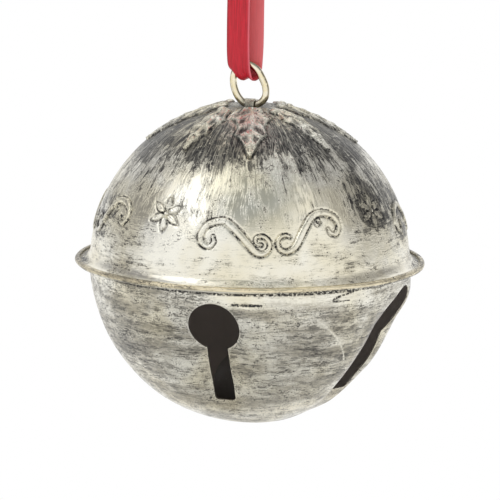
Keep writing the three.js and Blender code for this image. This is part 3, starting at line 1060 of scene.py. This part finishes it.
RIBBON_LINE = [  # across, front to back, up from the hanging point
    (-1.2, -0.55, 2.4), (-1.3, -1.3, -0.6), (-1.7, -2.5, -4.5), (-2.4, -2.7, -14), (-3.2, -2.3, -34),
    (-3.5, -2.0, -54), (-3.5, -1.95, -62), (-3.4, -1.95, -66), (-3.1, -1.95, -69), (-2.4, -1.45, -71.0),
    (-1.7, 0, -71.7), (-1.3, 1.4, -71.0), (-0.9, 1.8, -69), (-0.65, 1.85, -66), (-0.55, 1.85, -62),
    (-0.6, 1.95, -54), (-0.7, 2.3, -34), (-0.8, 2.7, -14), (-1.0, 2.5, -4.5), (-1.2, 1.3, -0.6),
    (-1.2, 0.55, 2.4),
]
RIBBON_SLANT = 0.40


def even_line(controls, spacing):
    """A smooth line resampled at even spacing."""
    dense = smooth_line(controls, 40)
    length = np.concatenate([[0], np.cumsum(np.linalg.norm(np.diff(dense, axis=0), axis=1))])
    even = np.linspace(0, length[-1], int(length[-1] / spacing) + 1)
    return np.stack([np.interp(even, length, dense[:, i]) for i in range(3)], axis=1), length[-1]


def sheet_grid(rows, columns):
    a = (np.arange(rows - 1)[:, None] * columns + np.arange(columns - 1)).ravel()
    return np.concatenate([
        np.stack([a, a + 1, a + columns + 1], axis=1),
        np.stack([a, a + columns + 1, a + columns], axis=1),
    ])


def add_cloth(name, places, rows, columns, material, length, width, folded=0.0):
    """A closed thin cloth over a grid of points, with even cloth coordinates in millimetres."""
    triangles = sheet_grid(rows, columns)
    normals = point_normals(places, triangles)
    half = RIBBON_THICKNESS / 2
    points, faces, _ = thicken(places + normals * half, places - normals * half, triangles)
    along = np.repeat(np.linspace(0, length, rows), columns)
    across = np.tile(np.linspace(0, width, columns), rows)
    uv = np.tile(np.stack([across, along], axis=1), (2, 1))
    selvage = np.tile(np.minimum(across, width - across), 2)
    # Painted highlight: a pink stripe along the ridge of the fold.
    crease = np.tile(hump(across - FRONT_PANEL + 0.25, 0.22) * folded, 2)
    # Painted light: the back strand, shaded by the front one, is coloured lighter.
    back_strand_painted_light = np.tile(smooth_step(0.5 * length - 1, 0.5 * length + 4, along) * folded, 2)
    values = {"selvage": hump(selvage, 0.35), "crease": crease, "faded": back_strand_painted_light}
    return add_mesh(name, points, faces, [material], values=values, uv=uv, sharp=180)


def add_ribbon(material):
    path, length = even_line(RIBBON_LINE, 0.5)
    columns = 41
    forward = np.gradient(path, axis=0)
    forward[:, 0] = 0
    forward = unit(forward)
    across = np.array([1.0, 0.0, 0.0])
    out = np.cross(forward, across)
    places = []
    lowest = path[:, 2].argmin()
    from_bend = (np.arange(len(path)) - lowest) * length / (len(path) - 1)
    bend = hump(from_bend, 2.6)
    slanted = hump(from_bend, 4.5)
    top = smooth_step(-9, 1, path[:, 2])
    for i, middle in enumerate(path):
        gather = 0.10 + 0.75 * bend[i] + 0.85 * top[i]
        section_across, section_out = ribbon_section(gather, 3.1 + 2.0 * slanted[i], columns)
        row = middle + section_across[:, None] * across + section_out[:, None] * out[i]
        row[:, 2] -= RIBBON_SLANT * slanted[i] * (row[:, 0] - middle[0])
        places.append(row)
    places = np.concatenate(places)
    soft = ripple(places * (1, 1, 0.25), 7, 51)
    places[:, 1] += 0.10 * soft
    made = add_cloth("ribbon_satin", places, len(path), columns, material, length, RIBBON_WIDTH, 1.0)
    return made, length


KNOT_MIDDLE = np.array([-0.9, 0, 5.6])
KNOT_SIZE = np.array([4.6, 3.5, 4.2])
KNOT_TILT = 0.42


def add_knot(material):
    """The overhand knot: a bulged body with pulled creases, crossed by a gathered wrap."""
    directions, triangles = sphere_grid(56, 112)
    c, s = math.cos(KNOT_TILT), math.sin(KNOT_TILT)
    tilt = directions[:, 2] * c + directions[:, 0] * s
    band = hump(tilt, 0.42)
    side = directions[:, 0] * c - directions[:, 2] * s
    crease = np.cos(tilt * 19 + 1.4 * side + 1.1 * directions[:, 1])
    turn = np.arctan2(directions[:, 1], side)
    pull = np.cos(turn * 7 + 3 * tilt)
    swell = 0.80 + 0.24 * band + 0.035 * crease * band + 0.05 * pull * (1 - band)
    step = 0.10 * smooth_step(0.36, 0.44, np.abs(tilt))
    places = directions * KNOT_SIZE * (swell - step)[:, None] + KNOT_MIDDLE
    kept, triangles = weld(places, triangles)
    uv = np.stack([tilt * 6 + 5, turn * 4], axis=1)[kept]
    values = {
        "selvage": hump(np.abs(tilt[kept]) - 0.4, 0.06),
        "crease": np.zeros(len(kept)),
    }
    knot = places[kept]
    return add_mesh("ribbon_knot_satin", knot, triangles, [material], values=values, uv=uv, sharp=180)


TAIL_LINES = {
    "left": [(-1.0, -0.6, 7.5), (-2.3, -1.3, 11), (-4.2, -2.0, 16), (-7.2, -2.3, 21), (-11.4, -2.0, 24.6)],
    "right": [(-0.8, 0.6, 7.5), (0.6, 1.4, 11), (2.4, 2.2, 16.5), (5.0, 2.6, 22), (9.0, 2.4, 26)],
}


TAIL_GATHER = 1.15  # how far the tail's pleats turn at the knot, in radians
TAIL_PLEAT = 3.4
TAIL_BOW = 0.30
CUT_SLANT = 3.2


def add_tail(side, material):
    """A tail of the ribbon: gathered where it leaves the knot, then opening flat to a slanted cut."""
    path, length = even_line(TAIL_LINES[side], 0.45)
    columns = 31
    forward = headings(path)
    hand = 1 if side == "right" else -1
    places = []
    for i, middle in enumerate(path):
        share = i / (len(path) - 1)
        turn = hand * (0.5 - 0.35 * share)
        flat = np.array([math.sin(turn), math.cos(turn), 0])
        flat -= forward[i] * (flat @ forward[i])
        flat /= np.linalg.norm(flat)
        out = np.cross(forward[i], flat)
        gather = TAIL_GATHER * (1 - smooth_step(0.0, 0.5, share))
        t = np.linspace(0, RIBBON_WIDTH, columns)
        heading = gather * np.sin(2 * math.pi * t / TAIL_PLEAT + hand)
        heading += TAIL_BOW * np.cos(math.pi * t / RIBBON_WIDTH)
        x, y = walk(heading, RIBBON_WIDTH / (columns - 1))
        cut = CUT_SLANT * smooth_step(0.75, 1, share) * (t / RIBBON_WIDTH - 0.5)
        row = middle + (x - x.mean())[:, None] * flat + (y - y.mean())[:, None] * out
        places.append(row + cut[:, None] * forward[i])
    name = f"ribbon_tail_{side}"
    made = add_cloth(name, np.concatenate(places), len(path), columns, material, length, RIBBON_WIDTH)
    return made, length


# Materials.


class Wire:
    """A node's output, which adds, subtracts and multiplies like a number or a vector."""

    def __init__(self, net, socket):
        self.net, self.socket = net, socket

    def combine(self, operation, *values):
        use = self.net.vector if self.socket.type == "VECTOR" else self.net.math
        return use(operation, *values)

    def __add__(self, other):
        return self.combine("ADD", self, other)

    def __sub__(self, other):
        return self.combine("SUBTRACT", self, other)

    def __rsub__(self, other):
        return self.combine("SUBTRACT", other, self)

    def __mul__(self, other):
        return self.combine("MULTIPLY", self, other)


class Net:
    """Short names for the nodes of a material or a world."""

    def __init__(self, owner):
        owner.use_nodes = True
        self.tree = owner.node_tree
        self.tree.nodes.clear()

    def node(self, kind, **settings):
        made = self.tree.nodes.new("ShaderNode" + kind)
        for key, value in settings.items():
            setattr(made, key, value)
        return made

    def feed(self, socket, value):
        if isinstance(value, Wire):
            self.tree.links.new(value.socket, socket)
        elif isinstance(value, tuple) and len(value) == 3 and socket.type == "RGBA":
            socket.default_value = (*value, 1)
        else:
            socket.default_value = value

    def wire(self, kind, output, inputs=(), **settings):
        """One output of a new node; inputs are (name or number, value) pairs."""
        made = self.node(kind, **settings)
        for key, value in inputs:
            self.feed(made.inputs[key], value)
        return Wire(self, made.outputs[output])

    def math(self, operation, *values, clamp=False):
        return self.wire("Math", 0, enumerate(values), operation=operation, use_clamp=clamp)

    def highest(self, a, b, clamp=False):
        return self.math("MAXIMUM", a, b, clamp=clamp)

    def vector(self, operation, *values):
        output = "Value" if operation == "DOT_PRODUCT" else "Vector"
        return self.wire("VectorMath", output, enumerate(values), operation=operation)

    def place(self):
        """The point on the piece in millimetres from the bell's centre."""
        return self.wire("TexCoord", "Object") * (1000, 1000, 1000) - tuple(BELL_CENTRE)

    def noise(self, vector, scale, detail=3.0, roughness=0.55):
        inputs = {"Vector": vector, "Scale": scale, "Detail": detail, "Roughness": roughness}
        return self.wire("TexNoise", 0, inputs.items())

    def colour_noise(self, vector, scale):
        """Three noises from about -0.5 to 0.5, as a vector."""
        inputs = {"Vector": vector, "Scale": scale, "Detail": 1.0}
        return self.vector("SUBTRACT", self.wire("TexNoise", "Color", inputs.items()), (0.5, 0.5, 0.5))

    def spread(self, value, low, high, to_low=0.0, to_high=1.0):
        inputs = {"Value": value, "From Min": low, "From Max": high, "To Min": to_low, "To Max": to_high}
        return self.wire("MapRange", 0, inputs.items(), interpolation_type="SMOOTHSTEP")

    def mix(self, share, a, b):
        """A colour share of the way from a to b."""
        return self.wire("Mix", 2, ((0, share), (6, a), (7, b)), data_type="RGBA")

    def part(self, vector, name):
        return self.wire("SeparateXYZ", name, ((0, vector),))

    def value(self, name):
        return self.wire("Attribute", "Fac", attribute_name=name)

    def bump(self, height, distance, strength=1.0, under=None):
        inputs = {"Height": height, "Distance": distance, "Strength": strength}
        if under is not None:
            inputs["Normal"] = under
        return self.wire("Bump", 0, inputs.items())


class Surface(Net):
    """The nodes of a new material with one principled shader."""

    def __init__(self, name):
        self.material = bpy.data.materials.new(name)
        super().__init__(self.material)
        self.shader = self.node("BsdfPrincipled")
        self.tree.links.new(self.shader.outputs[0], self.node("OutputMaterial").inputs["Surface"])

    def set(self, **values):
        for key, value in values.items():
            self.feed(self.shader.inputs[key.replace("_", " ").title()], value)
        return self.material


BRIGHT_SILVER = (0.89, 0.87, 0.78)
WARM_SILVER = (0.81, 0.76, 0.60)
CREAM_TARNISH = (0.80, 0.70, 0.48)
DARK_WASH = (0.030, 0.029, 0.029)


def streaks(net, place, meridians):
    """Brush marks, wide to fine, about 0.5: along the parallels, and down from the pole above the belt."""
    level = place * (0.055, 0.055, 1) + net.colour_noise(place, 0.07) * (0, 0, 1.6)
    parallel = [
        net.noise(level * (1, 1, 0.28), 1.0, 3.0, 0.6),
        net.noise(level * (2.6, 2.6, 1.0), 1.0, 4.0, 0.7),
        net.noise(level * (8.0, 8.0, 3.0), 1.0, 4.0, 0.7),
    ]
    if not meridians:
        return parallel
    heading = net.vector("NORMALIZE", place * (1, 1, 0)) + net.colour_noise(place, 0.09) * (0.10, 0.10, 0)
    turnover = net.spread(net.part(place, "Z"), 11.0, 19.0)
    mixed = []
    for beside, around, down in zip(parallel, (9.0, 27.0, 62.0), (0.07, 0.12, 0.22)):
        spokes = net.noise(heading * (around, around, 0) + place * (down / 2, down / 2, down), 1.0, 4.0, 0.7)
        mixed.append(beside * (1.0 - turnover) + spokes * turnover)
    return mixed


def hair_scratches(net, place, directions, width, crowding=0.5):
    """Thin wandering scratches lying roughly along two directions; 1 on a scratch."""
    found = []
    for turns in directions:
        inputs = (("Vector", place), ("Rotation", turns))
        turned = net.wire("VectorRotate", 0, inputs, rotation_type="EULER_XYZ")
        lines = net.noise(turned * (crowding / 10, crowding, crowding), 1.0, 1.0, 0.4)
        found.append(net.spread(net.math("ABSOLUTE", lines - 0.5), 0.0, width, 1.0, 0.0))
    return net.highest(*found)


def antique_silver(name, meridians, contrast, film_strength, edge, depth, start, thin_wash):
    """Silver plate under a dark brushed wash. meridians: streaks run down from the pole above."""
    net = Surface(name)
    place = net.place()
    patina, recess, raised, tarnish = (net.value(key) for key in ("patina", "recess", "raised", "tarnish"))
    wide, narrow, fine = streaks(net, place, meridians)
    blotch = net.noise(place, 0.35, 3.0, 0.6)
    grain = net.noise(place, 1.7, 2.0, 0.6)
    speck = net.noise(place, 3.1, 1.0, 0.5)

    def around_patina(*gains):
        """Noises less a half, each times its gain, added to the wash's share less a half."""
        parts = [(noise - 0.5) * gain for noise, gain in gains]
        return sum(parts[1:], parts[0]) + (patina - 0.5)

    level = around_patina(*zip((wide, narrow, fine, blotch), contrast))
    broad = around_patina((wide, 1.8), (blotch, 0.6), (fine, 0.35))
    film = net.spread(broad, -0.34, 0.30) * film_strength
    strokes = net.spread(level, start, start + edge, 0.0, depth) * net.spread(fine, 0.36, 0.62, 1.0, 0.55)
    dots = net.spread(speck, 0.62, 0.68) * net.spread(level, -0.34, -0.10)
    dots = dots * net.spread(patina, 0.45, 0.65, 1.0, 0.0)
    hairs = hair_scratches(net, place, ((0.3, 0.9, 0.4), (1.2, -0.7, 2.0)), 0.007)
    nicks = hair_scratches(net, place, ((0.15, 0.1, -0.2), (-0.2, 0.3, 1.4)), 0.030, 1.3)
    nicks = nicks * net.spread(net.noise(place, 0.5, 2.0), 0.44, 0.56)
    nicks = nicks * net.spread(patina, 0.15, 0.45, 0.0, 0.9)
    off_crests = 1.0 - raised * net.spread(grain, 0.35, 0.65, 1.0, 0.6) * 0.95
    # This darkening is wash in hollows, together with painted shade and painted dark reflection at the hem,
    # the flange's sides and the dents.
    in_recess = recess * net.spread(grain, 0.44, 0.62, 1.0, 0.22)
    dark = net.highest(net.highest(strokes * off_crests, dots * 0.8), nicks)
    dark = net.highest(dark * (1.0 - hairs * 0.75), in_recess, clamp=True)
    covered = net.highest(net.spread(dark, 0.0, 0.85), film * off_crests, clamp=True)

    warm = net.spread(net.noise(place, 0.055, 3.0), 0.38, 0.64)
    silver = net.mix(tarnish, net.mix(warm, BRIGHT_SILVER, WARM_SILVER), CREAM_TARNISH)
    washed = net.mix(net.spread(dark, 0.05, 0.85), thin_wash, DARK_WASH)
    rough = net.spread(covered, 0.0, 1.0, 0.15, 0.36) + (fine - 0.5) * 0.12
    brushed = (narrow * 0.5 + fine) * net.spread(level, -0.5, 0.1, 0.25, 1.0)
    coat = net.bump(covered, 0.00007, 0.8, net.bump(brushed, 0.00011, 0.5))
    colour = net.mix(covered, silver, washed)
    return net.set(base_color=colour, metallic=1.0 - covered * 0.35, roughness=rough, normal=coat)


def dark_inside():
    """The unpolished inside of the sheet, blackened by the wash."""
    net = Surface("blackened_inside")
    soot = net.noise(net.place(), 0.35, 5.0, 0.6)
    colour = net.mix(soot, (0.44, 0.40, 0.37), (0.60, 0.55, 0.51))
    rough = net.spread(soot, 0.3, 0.7, 0.6, 0.85)
    return net.set(base_color=colour, metallic=0.3, roughness=rough, normal=net.bump(soot, 0.0001, 0.5))


def cut_edge():
    """The sheared edge of the sheet, bright silver with a little wash."""
    net = Surface("sheared_edge")
    drag = net.noise(net.place() * (3, 3, 3), 1.0, 3.0)
    colour = net.mix(net.spread(drag, 0.5, 0.68), (0.90, 0.86, 0.74), (0.20, 0.18, 0.15))
    rough = net.spread(drag, 0.3, 0.7, 0.25, 0.45)
    return net.set(base_color=colour, metallic=1.0, roughness=rough, normal=net.bump(drag, 0.00005, 0.6))


def pale_gold():
    """Bright pale gold plate, with painted shade where the ring sits in its staple and two painted dark
    reflection lines along the wire.
    """
    net = Surface("pale_gold_wire")
    place = net.place()
    draw_lines = net.noise(place * (2.5, 2.5, 0.8), 1.0, 5.0, 0.6)
    tint = net.spread(net.noise(place, 0.5, 3.0), 0.35, 0.65)
    gold = net.mix(tint, (0.88, 0.78, 0.52), (0.92, 0.86, 0.70))
    # Painted shade and painted dark reflection, mixed in as near-black gold.
    painted_dark = net.value("wear") * net.spread(net.noise(place, 0.9, 4.0), 0.30, 0.46)
    colour = net.mix(painted_dark, gold, (0.13, 0.11, 0.08))
    rough = net.spread(draw_lines, 0.3, 0.7, 0.05, 0.12) + painted_dark * 0.2
    normal = net.bump(draw_lines, 0.00004, 0.5)
    return net.set(base_color=colour, metallic=1.0, roughness=rough, normal=normal)


def dark_steel():
    """Oxidised steel ball with small bright rubs."""
    net = Surface("oxidised_steel")
    place = net.place()
    mottle = net.noise(place, 0.6, 5.0, 0.6)
    rubs = net.spread(net.noise(place, 1.4, 3.0), 0.62, 0.7)
    colour = net.mix(mottle, (0.22, 0.205, 0.19), (0.36, 0.34, 0.32))
    colour = net.mix(rubs, colour, (0.46, 0.44, 0.41))
    rough = net.spread(mottle, 0.3, 0.7, 0.55, 0.75)
    return net.set(base_color=colour, metallic=0.45, roughness=rough, normal=net.bump(mottle, 0.0001, 0.5))


FLOAT_PITCH = 0.13  # spacing of the satin's lengthwise floats, in millimetres
STAGGER_PITCH = 0.52
WEFT_PITCH = 0.30


def red_satin():
    """Satin ribbon: fine lengthwise floats, a faint weft rib and a bound selvage."""
    net = Surface("red_satin")
    uv = net.wire("UVMap", 0, uv_map="cloth")
    across, along = net.part(uv, "X"), net.part(uv, "Y")
    floats = net.math("SINE", across * (2 * math.pi / FLOAT_PITCH))
    stagger = net.math("SINE", across * (2 * math.pi / STAGGER_PITCH)) * 1.3
    weft = net.math("SINE", along * (2 * math.pi / WEFT_PITCH) + stagger)
    weave = floats * 0.6 + weft * 0.4
    slub = net.noise(uv * (3.2, 0.12, 1), 1.0, 4.0, 0.6)
    colour = net.mix(net.spread(slub, 0.3, 0.7), (0.48, 0.005, 0.018), (0.74, 0.014, 0.036))
    for name, share, shade in (
        # painted light on the shaded back strand
        ("faded", 0.7, (0.90, 0.22, 0.23)),
        ("selvage", 0.55, (0.22, 0.010, 0.012)),
        # painted highlight along the fold's ridge
        ("crease", 0.85, (1.0, 0.24, 0.30)),
    ):
        colour = net.mix(net.value(name) * share, colour, shade)
    rough = net.spread(weave, -1.0, 1.0, 0.44, 0.32)
    normal = net.bump(weave, 0.000018, 0.7, net.bump(slub, 0.00012, 0.4))
    net.shader.inputs["Specular IOR Level"].default_value = 0.45
    return net.set(
        base_color=colour, roughness=rough, normal=normal, anisotropic=0.5,
        sheen_weight=0.25, sheen_roughness=0.35, sheen_tint=(1.0, 0.45, 0.50),
    )


# Building and joining to the frame.


def build():
    inside, edge = dark_inside(), cut_edge()
    upper_silver = antique_silver(
        "antique_silver_upper", meridians=True, contrast=(1.4, 1.6, 2.0, 1.3), film_strength=0.50,
        edge=0.10, depth=1.0, start=0.02, thin_wash=(0.22, 0.20, 0.16),
    )
    lower_silver = antique_silver(
        "antique_silver_lower", meridians=False, contrast=(0.7, 1.6, 2.6, 0.6), film_strength=0.68,
        edge=0.16, depth=0.95, start=0.07, thin_wash=(0.27, 0.235, 0.17),
    )
    gold, steel, satin = pale_gold(), dark_steel(), red_satin()

    fittings = [
        (add_upper_shell([upper_silver, inside, edge]), "upper_shell", "antique_silver", "bell"),
        (add_lower_shell([lower_silver, inside, edge]), "lower_shell", "antique_silver", "bell"),
        (add_staple(upper_silver), "hanger_staple", "antique_silver", "bell"),
        (add_ring(gold), "hanger_ring", "pale_gold", "ring"),
        (add_ball(steel), "clapper_ball", "dark_steel", "clapper"),
    ]
    for piece, node, slot, body in fittings:
        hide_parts(node)
        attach(piece, body)

    ribbon, ribbon_length = add_ribbon(satin)
    knot = add_knot(satin)
    left, left_length = add_tail("left", satin)
    right, right_length = add_tail("right", satin)
    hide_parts("ribbon_loop")
    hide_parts("ribbon_knot")
    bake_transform(ribbon)
    for piece in (knot, left, right):
        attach(piece, "ribbon")
    for piece, length in ((left, left_length), (right, right_length)):
        length * MM


build()


# Studio: a pale floor well below, a white surround and soft lights.


FLOOR_HALF = 1.0  # in metres, as the lights' places and sizes are
FLOOR_DROP = 1.5


def add_floor():
    mesh = bpy.data.meshes.new("floor")
    half, height = FLOOR_HALF, BELL_CENTRE[2] * MM - FLOOR_DROP
    corners = [(-half, -half, height), (half, -half, height), (half, half, height), (-half, half, height)]
    mesh.from_pydata(corners, [], [(0, 1, 2, 3)])
    mesh.materials.append(Surface("pale_floor").set(base_color=(0.9, 0.9, 0.89), roughness=0.7))
    add_object("floor", mesh)


def add_light(name, place, size, watts):
    data = bpy.data.lights.new(name, "AREA")
    data.shape = "RECTANGLE"
    data.size, data.size_y = size
    data.energy = watts
    lamp = add_object(name, data)
    target = Vector(BELL_CENTRE) * MM
    lamp.location = target + Vector(place)
    lamp.rotation_mode = "QUATERNION"
    lamp.rotation_quaternion = (target - lamp.location).to_track_quat("-Z", "Y")


SHADES = [  # grey cards in the white tent: azimuth, elevation, inner and outer half angle, colour
    (12, 60, 14, 38, (0.40, 0.415, 0.41)),
    (-96, 34, 12, 42, (0.33, 0.33, 0.35)),
    (122, 32, 12, 42, (0.34, 0.335, 0.34)),
    (-45, -50, 12, 48, (0.56, 0.55, 0.52)),
    (60, -44, 10, 36, (0.54, 0.52, 0.49)),
]


def add_world():
    """A white tent with soft grey cards, seen as plain white behind the bell."""
    world = bpy.data.worlds.new("white_tent")
    net = Net(world)
    direction = net.wire("TexCoord", "Generated")
    white = colour = (1.0, 1.0, 1.0)
    for azimuth, elevation, inner, outer, shade in SHADES:
        a, e = math.radians(azimuth), math.radians(elevation)
        card = (math.sin(a) * math.cos(e), -math.cos(a) * math.cos(e), math.sin(e))
        facing = net.vector("DOT_PRODUCT", direction, card)
        share = net.spread(facing, math.cos(math.radians(outer)), math.cos(math.radians(inner)))
        colour = net.mix(share, colour, shade)
    choose = net.node("MixShader")
    net.feed(choose.inputs[0], net.wire("LightPath", "Is Camera Ray"))
    for socket, seen in zip(choose.inputs[1:], (colour, white)):
        background = net.node("Background")
        net.feed(background.inputs["Color"], seen)
        net.tree.links.new(background.outputs[0], socket)
    net.tree.links.new(choose.outputs[0], net.node("OutputWorld").inputs["Surface"])
    bpy.context.scene.world = world


add_floor()
add_world()
add_light("soft_top", (-0.45, -0.35, 0.75), (0.7, 0.7), 1.2)
bpy.context.scene.view_settings.view_transform = "Standard"
